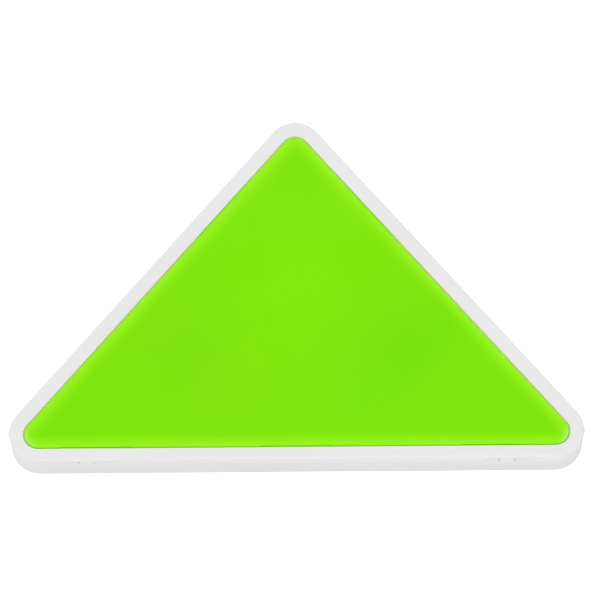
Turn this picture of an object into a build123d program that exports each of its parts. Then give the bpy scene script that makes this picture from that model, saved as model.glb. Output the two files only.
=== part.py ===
from build123d import *
from math import cos, radians, sin, tan
import os

# A flat crayon case with the outline of a wide isosceles triangle. It lies on its back with the
# long side along X. +Y runs from the long side to the apex and +Z is up. The origin is at the
# bottom centre of the whole case. All lengths are millimetres.

# Outline
WIDTH = 200.0  # tip to tip along the long side
BASE_ANGLE = 49.25  # at both ends of the long side, degrees
CORNER_R = 10.2
HEIGHT = 18.0
LID_GAP = 0.3  # between the closed shells
PARTING = 14.4  # height of the hinge axis, in the middle of the gap
LID_BOTTOM = PARTING + LID_GAP / 2
BASE_TOP = PARTING - LID_GAP / 2

# Base shell
BASE_INSET = 0.15
BASE_WALL = 2.2
FLOOR = 1.6
BOTTOM_ROUND = 2.0
GROOVE_ROUND = 1.5  # both edges beside the parting groove

# Lid frame
TOP_ROUND = 1.2
RIM = 5.2  # along the legs
RIM_LONG = 4.3  # along the long side
LEDGE = 3.4
NUB_R, NUB_OUT = 1.4, 0.3  # finger nub at each tip, and how far it stands out
LIP_THICKNESS = 1.0  # rib inside the base wall that centres the lid
LIP_DROP = 1.3
LIP_PLAY = 0.3
LIP_START = 26.0  # its distance from the long side

# Panel and its snap tongues
PANEL_THICKNESS = 2.0
PANEL_RECESS = 0.4
PANEL_GAP = 0.45
PANEL_CORNER_R = 4.9
PANEL_EDGE_ROUND = 0.5
PANEL_TOP = HEIGHT - PANEL_RECESS
LEDGE_TOP = PANEL_TOP - PANEL_THICKNESS
TONGUE_LENGTH = 25.0
TONGUE_THICKNESS = 0.9
TONGUE_REACH = 0.7
TONGUE_ROOT = 1.0  # how far a tongue overlaps the panel
TONGUE_PLAY = 0.1
RELIEF = 0.25  # extra gap above a tongue
LONG_TONGUES_X = (-70.0, 0.0, 70.0)
LEG_TONGUE_UP = 95.0  # distance of a leg's tongue from the long side, along Y

# Hinges
HINGE_X = 73.0
AXIS_IN = 0.8  # the axis lies this far inside the outer face of the long side
BARREL_R = 1.4
PIN_R = 0.5
PIN_PLAY = 0.03
LID_KNUCKLE = 5.0
BASE_KNUCKLE = 3.6
KNUCKLE_GAP = 0.3
POCKET_PLAY = 0.35
HINGE_BLOCK = (15.6, 3.4, 4.5)  # thickens the base wall behind a hinge

# Tray
TRAY_PLAY = 0.3
TRAY_FLOOR = 1.6
TRAY_TOP = 6.0
TRAY_WALL = 1.4
POCKET_R = 2.5
CORNER_POCKET_END = 28.0  # the corner pockets end this far from the middle
MIDDLE_POCKET_TOP = 24.0  # from the long side

# Crayons
CRAYON_R = 4.0
SLEEVE_THICKNESS = 0.18
SLEEVE_LENGTH = 41.0
CRAYON_LENGTH = 54.0
BUTT = 2.6  # bare wax behind the sleeve
BUTT_BEVEL = 0.4
TIP_LENGTH, TIP_SHOULDER, TIP_R = 6.5, 0.9, 1.3
CRAYON_PITCH = 8.5
CRAYON_PLAY = 0.15
CRAYONS_IN_BANK = 3
BANK_FROM_LEG = 9.0  # from the leg's outer face to the butts
BANK_ALONG_LEG = 80.2  # from the long side's sharp corner to the middle of the bank
CHANNEL_PLAY = 0.6  # at each end of a crayon

# Magnets
MAGNET_R, MAGNET_THICKNESS = 2.0, 1.0
MAGNET_PLAY = 0.05
MAGNET_FROM_APEX = 4.0
MAGNET_BOSS_R = 3.4

SLOPE = radians(BASE_ANGLE)
SHARP_HALF = WIDTH / 2 - CORNER_R + CORNER_R / tan(SLOPE / 2)
SHARP_HEIGHT = SHARP_HALF * tan(SLOPE)
DEPTH = SHARP_HEIGHT - CORNER_R / cos(SLOPE) + CORNER_R  # from the long side to the round apex
HINGE_OUT = BARREL_R - AXIS_IN  # the barrels stand out of the long side by this
LONG_SIDE = (HINGE_OUT - DEPTH) / 2  # Y of the long side's outer face
AXIS_Y = LONG_SIDE + AXIS_IN
MAGNET_Y = LONG_SIDE + DEPTH - MAGNET_FROM_APEX
TRAY_INSET = BASE_INSET + BASE_WALL + TRAY_PLAY
CHANNEL_R = CRAYON_R + CRAYON_PLAY
CRAYON_Z = FLOOR + TRAY_FLOOR + CHANNEL_R
BANK_HALF = CRAYON_PITCH * (CRAYONS_IN_BANK - 1) / 2 + CHANNEL_R + TRAY_WALL

os.makedirs("parts", exist_ok=True)


def outline(inset, corner_r=None, long_inset=None):
    """The case's rounded outline as a face at Z 0. Its legs are moved in by inset, and its long side
    by long_inset where that differs."""
    if long_inset is None:
        long_inset = inset
    half = SHARP_HALF - inset / sin(SLOPE) - long_inset / tan(SLOPE)
    low = LONG_SIDE + long_inset
    apex = (0, low + half * tan(SLOPE))
    face = make_face(Polyline((-half, low), (half, low), apex, close=True))
    return fillet(face.vertices(), corner_r or CORNER_R - inset)


def slab(inset, low, high, corner_r=None, long_inset=None):
    return Pos(0, 0, low) * extrude(outline(inset, corner_r, long_inset), high - low)


def inside_rim(more, low, high, corner_r):
    """A slab whose edge lies inside the lid's rim by more, all the way round."""
    return slab(RIM + more, low, high, corner_r, RIM_LONG + more)


def edges_at(solid, height):
    return solid.edges().filter_by_position(Axis.Z, height - 0.01, height + 0.01)


def disc(radius, low, high):
    """An upright cylinder on the magnets' axis."""
    return Pos(0, MAGNET_Y, (low + high) / 2) * Cylinder(radius, high - low)


def rod(radius, span, extra=0.0):
    """A cylinder on the hinge axis over an X span, longer by extra at both ends."""
    start, end = span
    place = Pos((start + end) / 2, AXIS_Y, PARTING) * Rot(0, 90, 0)
    return place * Cylinder(radius, end - start + 2 * extra)


def on_leg(along, inward):
    """A place by the left leg: its X runs up the leg and its -Y points into the case."""
    corner = Pos(-SHARP_HALF, LONG_SIDE, 0) * Rot(0, 0, BASE_ANGLE)
    return corner * Pos(along, -inward, 0)


def on_side(side, shape):
    """A shape built on the left, or for side 1 its mirror image on the right."""
    return shape if side < 0 else mirror(shape, about=Plane.YZ)


def edge_bars(more, depth, length, low, high):
    """A bar at each tongue's place, from more inside the rim outwards by depth."""
    bar = Pos(0, 0, (low + high) / 2) * Box(length, depth, high - low)
    middle = more - depth / 2
    bars = [Pos(x, LONG_SIDE + RIM_LONG + middle, 0) * bar for x in LONG_TONGUES_X]
    leg_bar = on_leg(LEG_TONGUE_UP / sin(SLOPE), RIM + middle) * bar
    return bars + [on_side(side, leg_bar) for side in (-1, 1)]


def knuckle_spans(x):
    """The X spans of one hinge: base knuckle, lid knuckle, base knuckle."""
    half = LID_KNUCKLE / 2
    near = half + KNUCKLE_GAP
    far = near + BASE_KNUCKLE
    return (x - far, x - near), (x - half, x + half), (x + near, x + far)


def crayon_places():
    """Side and distance up the leg of each crayon."""
    for side in (-1, 1):
        for number in range(CRAYONS_IN_BANK):
            offset = (number - (CRAYONS_IN_BANK - 1) / 2) * CRAYON_PITCH
            yield side, BANK_ALONG_LEG + offset


def lay(side, along, shape):
    """Lays a shape that is built up from a crayon's butt along +Z in that crayon's place."""
    place = on_leg(along, BANK_FROM_LEG) * Pos(0, 0, CRAYON_Z) * Rot(90, 0, 0)
    return on_side(side, place * shape)


def make_base_shell():
    shell = slab(BASE_INSET, 0, BASE_TOP)
    shell = fillet(edges_at(shell, 0), BOTTOM_ROUND)
    shell = fillet(edges_at(shell, BASE_TOP), GROOVE_ROUND)
    shell -= slab(BASE_INSET + BASE_WALL, FLOOR, HEIGHT)
    shell += disc(MAGNET_BOSS_R, FLOOR / 2, BASE_TOP) & slab(BASE_INSET + 1, 0, HEIGHT)
    shell -= disc(MAGNET_R + MAGNET_PLAY, BASE_TOP - MAGNET_THICKNESS, HEIGHT)
    for x in (-HINGE_X, HINGE_X):
        left, middle, right = knuckle_spans(x)
        _, deep, tall = HINGE_BLOCK
        block_y = LONG_SIDE + BASE_INSET + BASE_WALL / 2 + deep / 2
        shell += Pos(x, block_y, BASE_TOP - tall / 2) * Box(*HINGE_BLOCK)
        shell += rod(BARREL_R, left)
        shell += rod(BARREL_R, right)
        shell -= rod(BARREL_R + POCKET_PLAY, middle, KNUCKLE_GAP)
        shell -= rod(PIN_R, (left[0], right[1]), 1)
    return shell


def make_lid_frame():
    opening_r = PANEL_CORNER_R + PANEL_GAP
    frame = slab(0, LID_BOTTOM, HEIGHT)
    frame = fillet(edges_at(frame, HEIGHT), TOP_ROUND)
    frame = fillet(edges_at(frame, LID_BOTTOM), GROOVE_ROUND)
    frame -= inside_rim(0, LEDGE_TOP, HEIGHT + 1, opening_r)
    frame -= inside_rim(LEDGE, 0, HEIGHT, opening_r - LEDGE)
    slot_depth = TONGUE_REACH + TONGUE_PLAY
    slot_top = LEDGE_TOP + TONGUE_THICKNESS + TONGUE_PLAY
    slot_length = TONGUE_LENGTH + 2 * TONGUE_PLAY
    for slot in edge_bars(1, slot_depth + 1, slot_length, LEDGE_TOP, slot_top):
        frame -= slot
    lip_inset = BASE_INSET + BASE_WALL + LIP_PLAY
    lip = slab(lip_inset, LID_BOTTOM - LIP_DROP, LID_BOTTOM + 0.2)
    lip -= slab(lip_inset + LIP_THICKNESS, 0, HEIGHT)
    lip &= Pos(0, LONG_SIDE + LIP_START + WIDTH / 2, HEIGHT) * Box(WIDTH, WIDTH, 2 * HEIGHT)
    frame += lip - disc(MAGNET_BOSS_R + 2 * LIP_PLAY, 0, HEIGHT)
    frame -= disc(MAGNET_R + MAGNET_PLAY, 0, LID_BOTTOM + MAGNET_THICKNESS)
    for x in (-HINGE_X, HINGE_X):
        left, middle, right = knuckle_spans(x)
        for span in (left, right):
            frame -= rod(BARREL_R + POCKET_PLAY, span, KNUCKLE_GAP)
        frame += rod(BARREL_R, middle)
        frame -= rod(PIN_R + PIN_PLAY, middle, KNUCKLE_GAP)
    nub_x = WIDTH / 2 + NUB_OUT - NUB_R
    for side in (-1, 1):
        frame += Pos(side * nub_x, LONG_SIDE + CORNER_R, (LID_BOTTOM + HEIGHT) / 2) * Sphere(NUB_R)
    return frame


def make_lid_panel():
    panel = inside_rim(PANEL_GAP, LEDGE_TOP, PANEL_TOP, PANEL_CORNER_R)
    panel = fillet(edges_at(panel, PANEL_TOP), PANEL_EDGE_ROUND)
    tongue_top = LEDGE_TOP + TONGUE_THICKNESS
    for relief in edge_bars(PANEL_GAP + RELIEF, 1.0, TONGUE_LENGTH, tongue_top, HEIGHT):
        panel -= relief
    reach = TONGUE_ROOT + PANEL_GAP + TONGUE_REACH
    for tongue in edge_bars(PANEL_GAP + TONGUE_ROOT, reach, TONGUE_LENGTH, LEDGE_TOP, tongue_top):
        panel += tongue
    return panel


def leg_region(along_from, along_to, inward_from, inward_to):
    """A rectangle beside the left leg, as a face at Z 0."""
    place = on_leg((along_from + along_to) / 2, (inward_from + inward_to) / 2)
    return place * Rectangle(along_to - along_from, inward_to - inward_from)


def tray_pockets():
    """The faces of the tray's open pockets: both tips, the apex and the middle."""
    inside = outline(TRAY_INSET + TRAY_WALL, POCKET_R)
    far = 2 * WIDTH
    below = leg_region(-far, BANK_ALONG_LEG - BANK_HALF, -far, far)
    above = leg_region(BANK_ALONG_LEG + BANK_HALF, far, -far, far)
    past_tips = BANK_FROM_LEG + CRAYON_LENGTH + CHANNEL_PLAY + TRAY_WALL
    beyond = leg_region(-far, far, past_tips, far)
    side_strip = Pos(-CORNER_POCKET_END - WIDTH / 2, 0) * Rectangle(WIDTH, WIDTH)
    low_strip = Pos(0, LONG_SIDE + MIDDLE_POCKET_TOP - WIDTH / 2) * Rectangle(WIDTH, WIDTH)
    tip = inside & below & side_strip
    apex = inside & above & mirror(above, about=Plane.YZ)
    middle = inside & beyond & mirror(beyond, about=Plane.YZ) & low_strip
    return [tip, mirror(tip, about=Plane.YZ), apex, middle]


def make_tray():
    tray = slab(TRAY_INSET, FLOOR, TRAY_TOP)
    tray -= disc(MAGNET_BOSS_R + TRAY_PLAY, 0, HEIGHT)
    pocket_floor = FLOOR + TRAY_FLOOR
    for face in tray_pockets():
        pocket = Pos(0, 0, pocket_floor) * extrude(face, HEIGHT)
        pocket -= disc(MAGNET_BOSS_R + TRAY_PLAY + TRAY_WALL, 0, HEIGHT)
        tray -= pocket
    length = CRAYON_LENGTH + 2 * CHANNEL_PLAY
    channel = Pos(0, 0, CRAYON_LENGTH / 2) * Cylinder(CHANNEL_R, length)
    for side, along in crayon_places():
        tray -= lay(side, along, channel)
    return tray


def make_wax():
    """A wax stick that stands on its butt at the origin."""
    body_r = CRAYON_R - SLEEVE_THICKNESS
    body = CRAYON_LENGTH - TIP_LENGTH
    profile = Polyline(
        (0, 0),
        (body_r - BUTT_BEVEL, 0),
        (body_r, BUTT_BEVEL),
        (body_r, body - TIP_SHOULDER),
        (body_r - TIP_SHOULDER, body),
        (TIP_R, CRAYON_LENGTH),
        (0, CRAYON_LENGTH),
        close=True,
    )
    return revolve(make_face(Plane.XZ * profile), Axis.Z)


def make_sleeve():
    """The paper sleeve of a wax stick that stands on its butt at the origin."""
    tube = Cylinder(CRAYON_R, SLEEVE_LENGTH)
    tube -= Cylinder(CRAYON_R - SLEEVE_THICKNESS, SLEEVE_LENGTH)
    return Pos(0, 0, BUTT + SLEEVE_LENGTH / 2) * tube


def make_pin(x):
    left, _, right = knuckle_spans(x)
    return rod(PIN_R, (left[0], right[1]), -0.2)


nodes = {
    "base_shell": make_base_shell(),
    "crayon_tray": make_tray(),
    "lid_frame": make_lid_frame(),
    "lid_panel": make_lid_panel(),
    "hinge_pin_left": make_pin(-HINGE_X),
    "hinge_pin_right": make_pin(HINGE_X),
    "base_magnet": disc(MAGNET_R, BASE_TOP - MAGNET_THICKNESS, BASE_TOP),
    "lid_magnet": disc(MAGNET_R, LID_BOTTOM, LID_BOTTOM + MAGNET_THICKNESS),
}
for number, (side, along) in enumerate(crayon_places(), start=1):
    nodes[f"crayon_wax_{number}"] = lay(side, along, make_wax())
    nodes[f"crayon_sleeve_{number}"] = lay(side, along, make_sleeve())

for name, shape in nodes.items():
    export_step(shape, f"parts/{name}.step")

print("hinge axis y, z:", round(AXIS_Y, 4), PARTING)
print("long side y:", round(LONG_SIDE, 4), "apex y:", round(LONG_SIDE + DEPTH, 4))
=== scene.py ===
"""The looks of the triangular crayon case, built around its CAD frame. Lengths are in metres."""

import math

import bmesh
import bpy
import numpy as np
from mathutils import Matrix, Vector


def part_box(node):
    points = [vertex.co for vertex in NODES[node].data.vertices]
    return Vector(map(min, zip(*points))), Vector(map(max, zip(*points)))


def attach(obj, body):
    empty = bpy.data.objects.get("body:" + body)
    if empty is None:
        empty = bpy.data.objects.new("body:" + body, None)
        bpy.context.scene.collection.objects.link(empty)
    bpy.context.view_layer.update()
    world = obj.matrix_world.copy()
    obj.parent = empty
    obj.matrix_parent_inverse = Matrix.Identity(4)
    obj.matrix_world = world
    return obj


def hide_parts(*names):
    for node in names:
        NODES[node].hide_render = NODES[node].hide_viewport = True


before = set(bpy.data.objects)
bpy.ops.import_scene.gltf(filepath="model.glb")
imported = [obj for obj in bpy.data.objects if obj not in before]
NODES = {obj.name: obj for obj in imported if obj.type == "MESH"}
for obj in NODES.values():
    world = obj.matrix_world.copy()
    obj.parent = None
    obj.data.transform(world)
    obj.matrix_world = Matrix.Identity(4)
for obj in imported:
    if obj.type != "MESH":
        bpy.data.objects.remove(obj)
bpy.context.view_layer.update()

MM = 0.001

# Camera: where it looks, and from where
AIM = Vector((1.4, -0.95, 9.0)) * MM
TILT = math.radians(18.45)  # from straight above towards the long side
TURN = math.radians(1.2)  # to the right of the case's own middle line
ROLL = math.radians(1.59)
DISTANCE = 1.811
LENS, SENSOR = 308.5, 36.0  # millimetres

# Light
TENT = ((0.0, 0.30), (0.35, 0.65), (0.5, 1.0), (0.78, 1.0), (0.90, 0.03))  # height from 0 to 1, and level
TENT_FRONT, TENT_BACK = 1.61, 1.58
FRONT_POWER = 3.0  # watts
FLOOR_LIFT = 0.5

# Panel
PANEL_MILK = 0.78  # share of its look that is its own surface, not what glows through it
PANEL_PAINTED_GLOW_BORDER = (0.2 * MM, 5.5 * MM)  # painted light: the lighter border painted along the panel's edges fades out between these distances from the edge
PANEL_PAINTED_GLOW_CORNER = (5.4 * MM, 7.8 * MM)  # painted light in the two sharp corners, placed by the corner's distances from the two edges added up

# Crayons
TIP_LENGTH, TIP_SHOULDER, TIP_R = 6.5 * MM, 0.9 * MM, 1.3 * MM
WAX_ROUND = 0.5 * MM
PAPER_LAP = 0.07 * MM  # step where the paper's last turn ends
PAPER_CLEARANCE = 0.005 * MM
CRAYON_ROLL = 47  # degrees from one crayon to the next, so that their overlaps differ
# Colours in the order of the nodes
CRAYON_COLOURS = {
    "red": (0.55, 0.025, 0.02),
    "orange": (0.75, 0.17, 0.015),
    "yellow": (0.80, 0.50, 0.02),
    "blue": (0.12, 0.17, 0.55),
    "green": (0.16, 0.34, 0.09),
    "violet": (0.40, 0.08, 0.42),
}


# ---------------------------------------------------------------- node helpers


class Graph:
    """A material's node tree, with short calls for the nodes that the materials here use."""

    def __init__(self, name):
        self.material = bpy.data.materials.new(name)
        self.material.use_nodes = True
        self.tree = self.material.node_tree
        self.tree.nodes.clear()
        self.output = self.add("ShaderNodeOutputMaterial")
        self.coords = self.add("ShaderNodeTexCoord").outputs["Object"]

    def add(self, kind, **settings):
        node = self.tree.nodes.new(kind)
        for key, value in settings.items():
            setattr(node, key, value)
        return node

    def feed(self, socket, value):
        """Links an output to an input, or sets the input's own value."""
        if isinstance(value, bpy.types.NodeSocket):
            self.tree.links.new(value, socket)
        elif socket.type == "RGBA":
            socket.default_value = (*value, 1)
        else:
            socket.default_value = value

    def math(self, operation, *values, clamp=False):
        node = self.add("ShaderNodeMath", operation=operation, use_clamp=clamp)
        for socket, value in zip(node.inputs, values):
            self.feed(socket, value)
        return node.outputs[0]

    def mix(self, factor, a, b):
        """A mix of two colours."""
        node = self.add("ShaderNodeMix", data_type="RGBA")
        self.feed(node.inputs["Factor"], factor)
        self.feed(node.inputs[6], a)
        self.feed(node.inputs[7], b)
        return node.outputs[2]

    def noise(self, size, detail=3.0, roughness=0.5, vector=None, stretch=None):
        """Noise from 0 to 1 whose lumps are about size across."""
        vector = vector or self.coords
        if stretch:
            vector = self.scaled(vector, stretch)
        node = self.add("ShaderNodeTexNoise")
        self.feed(node.inputs["Vector"], vector)
        node.inputs["Scale"].default_value = 1 / size
        node.inputs["Detail"].default_value = detail
        node.inputs["Roughness"].default_value = roughness
        return node.outputs["Fac"]

    def scaled(self, vector, scale):
        node = self.add("ShaderNodeMapping")
        self.feed(node.inputs["Vector"], vector)
        node.inputs["Scale"].default_value = scale
        return node.outputs["Vector"]

    def along(self, direction):
        """How far the shaded point lies from the origin along a direction."""
        node = self.add("ShaderNodeVectorMath", operation="DOT_PRODUCT")
        self.feed(node.inputs[0], self.coords)
        node.inputs[1].default_value = direction
        return node.outputs["Value"]

    def spread(self, value, low, high, new_low, new_high):
        """value from low..high to new_low..new_high, held at the ends."""
        node = self.add("ShaderNodeMapRange")
        self.feed(node.inputs["Value"], value)
        for socket, number in zip(list(node.inputs)[1:5], (low, high, new_low, new_high)):
            socket.default_value = number
        return node.outputs["Result"]

    def bump(self, height, depth, normal=None):
        """A bump whose full height is depth metres."""
        node = self.add("ShaderNodeBump")
        self.feed(node.inputs["Height"], height)
        node.inputs["Distance"].default_value = depth
        if normal:
            self.feed(node.inputs["Normal"], normal)
        return node.outputs["Normal"]

    def principled(self, **inputs):
        node = self.add("ShaderNodeBsdfPrincipled")
        for name, value in inputs.items():
            self.feed(node.inputs[name.replace("_", " ")], value)
        return node.outputs["BSDF"]

    def blend(self, factor, a, b):
        """A mix of two shaders."""
        node = self.add("ShaderNodeMixShader")
        for socket, value in zip(node.inputs, (factor, a, b)):
            self.feed(socket, value)
        return node.outputs[0]

    def finish(self, shader):
        self.feed(self.output.inputs["Surface"], shader)
        return self.material


# ------------------------------------------------------------------- materials


def white_plastic(name, colour, shine, grain, grain_depth):
    """Moulded white plastic: a fine grain, a slow tone drift and faint handling marks."""
    g = Graph(name)
    drift = g.noise(0.045, detail=2)
    fine = g.noise(grain, detail=2)
    scuffs = g.noise(0.006, detail=5, roughness=0.75, stretch=(0.35, 1.6, 1))
    tone = g.spread(drift, 0.3, 0.7, 0, 1)
    darker = tuple(c * 0.975 for c in colour)
    base = g.mix(tone, darker, colour)
    gloss = g.spread(drift, 0.3, 0.7, shine, shine + 0.05)
    gloss = g.math("ADD", gloss, g.spread(scuffs, 0.62, 0.8, 0, 0.12))
    normal = g.bump(fine, grain_depth)
    return g.finish(
        g.principled(
            Base_Color=base,
            Roughness=gloss,
            Normal=normal,
            IOR=1.47,
            Subsurface_Weight=0.12,
            Subsurface_Radius=(0.0016, 0.0015, 0.0013),
            Subsurface_Scale=1.0,
        )
    )


def panel_edges():
    """The panel's three straight edges, each as its outward direction and its distance from the origin."""
    points = np.array([v.co for v in NODES["lid_panel"].data.vertices])
    top = points[points[:, 2] > points[:, 2].max() - 0.05 * MM]
    apex = top[top[:, 1].argmax()]
    tip = top[top[:, 0].argmax()]
    slope = math.atan2(apex[1] - tip[1], tip[0] - apex[0])
    long_side = (0, -1, 0)
    right_leg = (math.sin(slope), math.cos(slope), 0)
    left_leg = (-math.sin(slope), math.cos(slope), 0)
    return [(out, float((top @ out).max())) for out in (long_side, right_leg, left_leg)]


def lime_panel():
    """Milky lime-green sheet. What lies below shows through it blurred, and light passes through it.
    Along its border, and most of all in the two sharp corners, a lighter colour is painted in as painted
    light, standing in for light that runs inside the sheet and comes out there."""
    g = Graph("lime_panel")
    clouds = g.noise(0.02, detail=3)
    grain = g.noise(0.0006, detail=2)
    specks = g.noise(0.0028, detail=1)
    tone = g.math("ADD", g.spread(clouds, 0.3, 0.7, 0, 0.8), g.spread(grain, 0.3, 0.7, 0, 0.2))
    depths = [g.math("SUBTRACT", distance, g.along(out)) for out, distance in panel_edges()]
    long_side, right_leg, left_leg = depths
    legs = g.math("MINIMUM", right_leg, left_leg)
    # painted light: a lighter colour along the edges, standing in for light that comes out of the sheet's
    # border
    border = g.spread(g.math("MINIMUM", long_side, legs), *PANEL_PAINTED_GLOW_BORDER, 1, 0)
    border = g.math("MULTIPLY", border, border)
    # painted light: a paler colour in the two sharp corners, standing in for light that gathers there
    corner = g.spread(g.math("ADD", long_side, legs), *PANEL_PAINTED_GLOW_CORNER, 1, 0)
    base = g.mix(tone, (0.205, 0.882, 0.0006), (0.220, 0.902, 0.0010))
    # the painted border light and the painted corner light are mixed into the base colour here
    base = g.mix(g.math("MULTIPLY", border, 0.8), base, (0.34, 1.0, 0.02))
    base = g.mix(g.math("MULTIPLY", corner, 0.8), base, (0.55, 1.0, 0.20))
    gloss = g.math("ADD", g.spread(clouds, 0.3, 0.7, 0.22, 0.26), g.spread(specks, 0.72, 0.78, 0, 0.03))
    normal = g.bump(g.noise(0.0009, detail=2), 0.000004)
    skin = g.principled(Base_Color=base, Roughness=gloss, Normal=normal, IOR=1.45)
    facing = g.add("ShaderNodeSeparateXYZ")
    g.feed(facing.inputs[0], g.add("ShaderNodeTexCoord").outputs["Normal"])
    side = g.spread(g.math("ABSOLUTE", facing.outputs["Z"]), 0.2, 0.6, 1, 0)
    glow = g.add("ShaderNodeBsdfTranslucent")
    shine = g.mix(tone, (0.92, 0.93, 0.010), (0.95, 0.95, 0.012))
    g.feed(glow.inputs["Color"], g.mix(side, shine, (0.16, 0.50, 0.05)))
    milky = g.blend(PANEL_MILK, glow.outputs[0], skin)
    clear = g.add("ShaderNodeBsdfTransparent")
    clear.inputs["Color"].default_value = (0.80, 0.97, 0.30, 1)
    seen = g.add("ShaderNodeLightPath").outputs["Is Camera Ray"]
    return g.finish(g.blend(seen, clear.outputs[0], milky))


def metal(name, colour, roughness, grain_stretch):
    """Bright metal with fine drawing or plating lines."""
    g = Graph(name)
    lines = g.noise(0.0002, detail=3, stretch=grain_stretch)
    stain = g.noise(0.002, detail=2)
    base = g.mix(g.spread(stain, 0.35, 0.65, 0, 1), tuple(c * 0.9 for c in colour), colour)
    gloss = g.spread(lines, 0.3, 0.7, roughness, roughness + 0.12)
    return g.finish(
        g.principled(Base_Color=base, Metallic=1.0, Roughness=gloss, Normal=g.bump(lines, 0.000003))
    )


def wax(name, colour):
    """Coloured wax: waxy depth, pale bloom and shallow casting ripples."""
    g = Graph(name)
    mottle = g.noise(0.0022, detail=4, roughness=0.6)
    ripples = g.noise(0.0012, detail=2, stretch=(1, 1, 5))
    bloom = g.spread(g.noise(0.004, detail=5, roughness=0.7), 0.5, 0.8, 0, 0.35)
    deep = tuple(c * 0.72 for c in colour)
    pale = tuple(0.75 * c + 0.18 for c in colour)
    base = g.mix(bloom, g.mix(g.spread(mottle, 0.3, 0.7, 0, 1), deep, colour), pale)
    return g.finish(
        g.principled(
            Base_Color=base,
            Roughness=g.spread(mottle, 0.3, 0.7, 0.34, 0.5),
            Normal=g.bump(ripples, 0.00006),
            IOR=1.44,
            Subsurface_Weight=0.25,
            Subsurface_Radius=(0.0012, 0.0009, 0.0007),
            Subsurface_Scale=1.0,
        )
    )


def sleeve_paper(name, colour, length):
    """Coloured paper with plain dark printed rings at both ends and a plain dark field in the middle."""
    g = Graph(name)
    axes = g.add("ShaderNodeSeparateXYZ")
    g.feed(axes.inputs[0], g.coords)
    from_end = g.math("SUBTRACT", length / 2, g.math("ABSOLUTE", axes.outputs["Z"]))

    def ring(start, width):
        """1 in a printed ring that starts this far from either end."""
        edge = 0.00005
        inner = g.spread(from_end, start - edge, start + edge, 0, 1)
        outer = g.spread(from_end, start + width - edge, start + width + edge, 1, 0)
        return g.math("MULTIPLY", inner, outer)

    print_mask = ring(0.0105, 0.02)
    for start, width in ((0.0012, 0.0008), (0.0026, 0.0012), (0.0052, 0.0005), (0.0078, 0.0006)):
        print_mask = g.math("MAXIMUM", print_mask, ring(start, width))
    fibres = g.noise(0.0005, detail=4, roughness=0.7, stretch=(1, 1, 0.3))
    worn = g.spread(g.noise(0.0012, detail=4, roughness=0.7), 0.62, 0.72, 1, 0.35)
    paper = tuple(0.86 * c + 0.05 for c in colour)
    light = tuple(min(1.0, c * 1.25 + 0.03) for c in paper)
    ink = tuple(c * 0.24 + 0.012 for c in colour)
    base = g.mix(g.spread(fibres, 0.3, 0.7, 0, 1), paper, light)
    base = g.mix(g.math("MULTIPLY", print_mask, worn), base, ink)
    crease = g.noise(0.003, detail=3, stretch=(1, 1, 0.25))
    normal = g.bump(fibres, 0.00003, g.bump(crease, 0.00012))
    roughness = g.spread(fibres, 0.3, 0.7, 0.6, 0.78)
    return g.finish(g.principled(Base_Color=base, Roughness=roughness, Normal=normal))


# --------------------------------------------------------------------- crayons


def lathe(name, profile, segments=96):
    """A closed solid of revolution about Z from (radius, height) points, the first and last on the axis."""
    mesh = bpy.data.meshes.new(name)
    bm = bmesh.new()
    rings = []
    for radius, height in profile:
        if radius < 1e-9:
            rings.append([bm.verts.new((0, 0, height))])
            continue
        ring = []
        for i in range(segments):
            angle = 2 * math.pi * i / segments
            ring.append(bm.verts.new((radius * math.cos(angle), radius * math.sin(angle), height)))
        rings.append(ring)
    for low, high in zip(rings, rings[1:]):
        for i in range(segments):
            j = (i + 1) % segments
            corners = [low[i % len(low)], low[j % len(low)], high[j % len(high)], high[i % len(high)]]
            unique = list(dict.fromkeys(corners))
            if len(unique) > 2:
                bm.faces.new(unique)
    bmesh.ops.recalc_face_normals(bm, faces=bm.faces)
    bm.to_mesh(mesh)
    bm.free()
    piece = bpy.data.objects.new(name, mesh)
    bpy.context.scene.collection.objects.link(piece)
    return piece


def smooth(piece, angle=35):
    """Smooth shading that keeps edges sharper than angle."""
    mesh = piece.data
    for polygon in mesh.polygons:
        polygon.use_smooth = True
    bm = bmesh.new()
    bm.from_mesh(mesh)
    limit = math.radians(angle)
    for edge in bm.edges:
        edge.smooth = len(edge.link_faces) == 2 and edge.calc_face_angle(0) < limit
    bm.to_mesh(mesh)
    bm.free()
    return piece


def rounded(points, radius, steps=4):
    """The profile with each inner corner rounded by about radius."""
    result = [points[0]]
    for before, corner, after in zip(points, points[1:], points[2:]):
        a, b, c = Vector(before), Vector(corner), Vector(after)
        reach = min(radius, (a - b).length * 0.45, (c - b).length * 0.45)
        start = b + (a - b).normalized() * reach
        end = b + (c - b).normalized() * reach
        for i in range(steps + 1):
            t = i / steps
            result.append(tuple(start * (1 - t) ** 2 + b * 2 * t * (1 - t) + end * t**2))
    result.append(points[-1])
    return result


def axis_of(wax_node, sleeve_node):
    """The crayon's middle, its direction from butt to tip, its length and its radius, from its CAD nodes.
    The sleeve gives the axis, because both of its ends are the same."""
    sleeve = np.unique(np.round([v.co for v in NODES[sleeve_node].data.vertices], 6), axis=0)
    on_axis = (sleeve.max(0) + sleeve.min(0)) / 2
    direction = np.linalg.svd(sleeve - on_axis, full_matrices=False)[2][0] * [1, 1, 0]
    direction /= np.linalg.norm(direction)
    points = np.array([v.co for v in NODES[wax_node].data.vertices]) - on_axis
    along = points @ direction
    radius = np.linalg.norm(points - np.outer(along, direction), axis=1)
    if radius[along > along.max() - MM].max() > radius[along < along.min() + MM].max():
        direction, along = -direction, -along
    middle = on_axis + direction * (along.max() + along.min()) / 2
    return Vector(middle), Vector(direction), float(along.max() - along.min()), float(radius.max())


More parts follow.
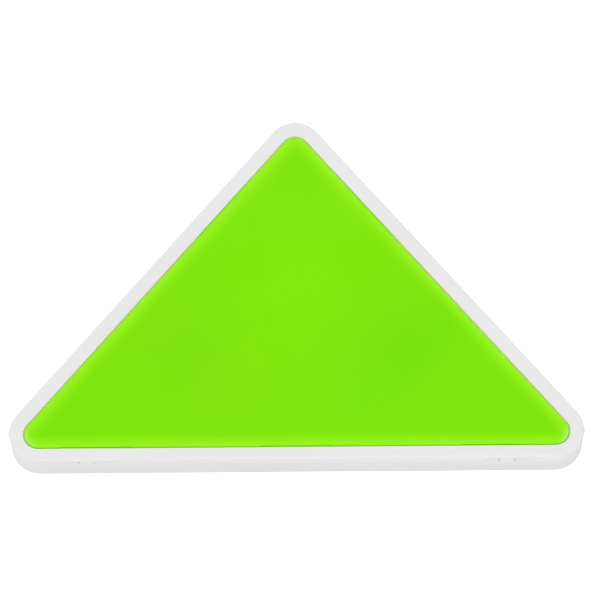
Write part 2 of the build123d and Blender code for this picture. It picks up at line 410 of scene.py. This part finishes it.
def wrap(name, inner, outer, half, overlap, segments=120):
    """A closed paper tube about Z, whose outer face is overlap(angle) proud and steps where a turn ends."""
    mesh = bpy.data.meshes.new(name)
    bm = bmesh.new()
    loops = []
    for i in range(segments + 1):
        angle = 2 * math.pi * i / segments
        place = angle - 0.002 if i == segments else angle
        c, s = math.cos(place), math.sin(place)
        skin = outer + overlap(angle)
        corners = ((inner, -half), (skin, -half), (skin, half), (inner, half))
        loops.append([bm.verts.new((radius * c, radius * s, height)) for radius, height in corners])
    for a, b in zip(loops, loops[1:] + loops[:1]):
        for k in range(4):
            m = (k + 1) % 4
            bm.faces.new((a[k], b[k], b[m], a[m]))
    bmesh.ops.recalc_face_normals(bm, faces=bm.faces)
    bm.to_mesh(mesh)
    bm.free()
    piece = bpy.data.objects.new(name, mesh)
    bpy.context.scene.collection.objects.link(piece)
    return smooth(piece, 20)


def crayon(number, colour_name, colour):
    """Lays a detailed wax stick and its wrapped sleeve where the CAD ones lie."""
    wax_node, sleeve_node = f"crayon_wax_{number}", f"crayon_sleeve_{number}"
    middle, direction, length, body_r = axis_of(wax_node, sleeve_node)
    sleeve_low, sleeve_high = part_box(sleeve_node)
    sleeve_r = (sleeve_high.z - sleeve_low.z) / 2
    across = Vector((0, 0, 1)).cross(direction)
    roll = Matrix.Rotation(math.radians(CRAYON_ROLL * number), 4, "Z")
    turn = Matrix((across, direction.cross(across), direction)).transposed().to_4x4()

    end = length / 2
    profile = [
        (0, -end),
        (body_r, -end),
        (body_r, end - TIP_LENGTH - TIP_SHOULDER),
        (body_r - TIP_SHOULDER, end - TIP_LENGTH),
        (TIP_R, end),
        (0, end),
    ]
    stick = lathe(f"wax_stick_{number}", rounded(profile, WAX_ROUND))
    smooth(stick)
    stick.matrix_world = Matrix.Translation(middle) @ turn @ roll
    stick.data.materials.append(wax(f"wax_{colour_name}", colour))
    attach(stick, "base")
    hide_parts(wax_node)

    sleeve_middle = (sleeve_low + sleeve_high) / 2
    flat = Vector((direction.x, direction.y))
    size = Vector((sleeve_high.x - sleeve_low.x, sleeve_high.y - sleeve_low.y))
    sleeve_length = (size.x - 2 * sleeve_r * abs(flat.y)) / abs(flat.x)
    half = sleeve_length / 2
    inner = body_r + PAPER_CLEARANCE
    outer = sleeve_r - PAPER_LAP

    def overlap(angle):
        """How proud the paper is: the last turn's end is a step, and it evens out all the way round."""
        return PAPER_LAP * (1 - angle / (2 * math.pi))

    sleeve = wrap(f"paper_sleeve_{number}", inner, outer, half, overlap)
    sleeve.matrix_world = Matrix.Translation(sleeve_middle) @ turn @ roll
    sleeve.data.materials.append(sleeve_paper(f"sleeve_{colour_name}", colour, sleeve_length))
    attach(sleeve, "base")
    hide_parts(sleeve_node)


# ------------------------------------------------------------------- the scene


def dress(node, material):
    """Gives a CAD node its material in every slot."""
    slots = NODES[node].material_slots
    if not slots:
        NODES[node].data.materials.append(material)
    for slot in slots:
        slot.material = material


def make_object():
    shell = white_plastic("shell_white", (0.78, 0.785, 0.78), shine=0.42, grain=0.0004, grain_depth=0.000002)
    inner = white_plastic("tray_grey", (0.50, 0.505, 0.50), shine=0.55, grain=0.0006, grain_depth=0.000015)
    dress("base_shell", shell)
    dress("lid_frame", shell)
    dress("crayon_tray", inner)
    dress("lid_panel", lime_panel())
    steel = metal("pin_steel", (0.62, 0.62, 0.63), 0.22, (0.1, 1, 1))
    nickel = metal("magnet_nickel", (0.70, 0.68, 0.63), 0.18, (1, 1, 1))
    for side in ("left", "right"):
        dress(f"hinge_pin_{side}", steel)
    for node in ("base_magnet", "lid_magnet"):
        dress(node, nickel)
    for number, (name, colour) in enumerate(CRAYON_COLOURS.items(), start=1):
        crayon(number, name, colour)


def make_floor():
    """A matt white floor just under the case. It is brighter to the camera than as a light on the case."""
    g = Graph("floor_white")
    tone = g.spread(g.noise(0.4, detail=2), 0.3, 0.7, 0, 1)
    paper = g.principled(Base_Color=g.mix(tone, (0.76, 0.76, 0.76), (0.78, 0.78, 0.78)), Roughness=0.9)
    bright = g.add("ShaderNodeEmission")
    bright.inputs["Strength"].default_value = FLOOR_LIFT
    both = g.add("ShaderNodeAddShader")
    g.feed(both.inputs[0], paper)
    g.feed(both.inputs[1], bright.outputs[0])
    seen = g.add("ShaderNodeLightPath").outputs["Is Camera Ray"]
    material = g.finish(g.blend(seen, paper, both.outputs[0]))
    bpy.ops.mesh.primitive_plane_add(size=8, location=(0, 0, -0.05 * MM))
    floor = bpy.context.active_object
    floor.name = "floor"
    floor.data.materials.append(material)


def area_light(name, place, size, power, aim=(0, 0, 0)):
    data = bpy.data.lights.new(name, "AREA")
    data.shape = "RECTANGLE"
    data.size, data.size_y = size
    data.energy = power
    lamp = bpy.data.objects.new(name, data)
    bpy.context.scene.collection.objects.link(lamp)
    lamp.location = place
    lamp.rotation_euler = (Vector(aim) - Vector(place)).to_track_quat("-Z", "Y").to_euler()


def make_light():
    """A white tent that glows most halfway up and has a dark roof, which keeps reflections off the panel."""
    world = bpy.data.worlds.new("studio")
    bpy.context.scene.world = world
    world.use_nodes = True
    tree = world.node_tree
    direction = tree.nodes.new("ShaderNodeTexCoord")
    axes = tree.nodes.new("ShaderNodeSeparateXYZ")
    tent = tree.nodes.new("ShaderNodeValToRGB")
    front = tree.nodes.new("ShaderNodeMapRange")
    glow = tree.nodes.new("ShaderNodeMath")
    glow.operation = "MULTIPLY"
    ramp = tent.color_ramp
    ramp.interpolation = "EASE"
    ramp.elements.remove(ramp.elements[1])
    for height, level in TENT:
        stop = ramp.elements.new(height) if height else ramp.elements[0]
        stop.color = (level, level, level, 1)
    for socket, number in zip(list(front.inputs)[1:5], (-1, 1, TENT_FRONT, TENT_BACK)):
        socket.default_value = number
    tree.links.new(direction.outputs["Generated"], axes.inputs[0])
    tree.links.new(axes.outputs["Z"], tent.inputs["Fac"])
    tree.links.new(axes.outputs["Y"], front.inputs["Value"])
    tree.links.new(tent.outputs["Color"], glow.inputs[0])
    tree.links.new(front.outputs["Result"], glow.inputs[1])
    background = tree.nodes["Background"]
    background.inputs["Color"].default_value = (1, 1, 1, 1)
    tree.links.new(glow.outputs[0], background.inputs["Strength"])
    area_light("front_box", (-0.5, -1.4, 1.0), (1.2, 0.8), FRONT_POWER)


def make_camera():
    data = bpy.data.cameras.new("camera")
    data.lens, data.sensor_width = LENS, SENSOR
    data.clip_end = 20
    camera = bpy.data.objects.new("camera", data)
    bpy.context.scene.collection.objects.link(camera)
    bpy.context.scene.camera = camera
    flat = math.sin(TILT)
    back = Vector((math.sin(TURN) * flat, -math.cos(TURN) * flat, math.cos(TILT)))
    right = Vector((math.cos(TURN), math.sin(TURN), 0))
    axes = Matrix((right, back.cross(right), back)).transposed().to_4x4()
    roll = Matrix.Rotation(-ROLL, 4, "Z")
    camera.matrix_world = Matrix.Translation(AIM + back * DISTANCE) @ axes @ roll


bpy.context.scene.view_settings.view_transform = "Standard"
make_camera()
make_light()
make_floor()
make_object()
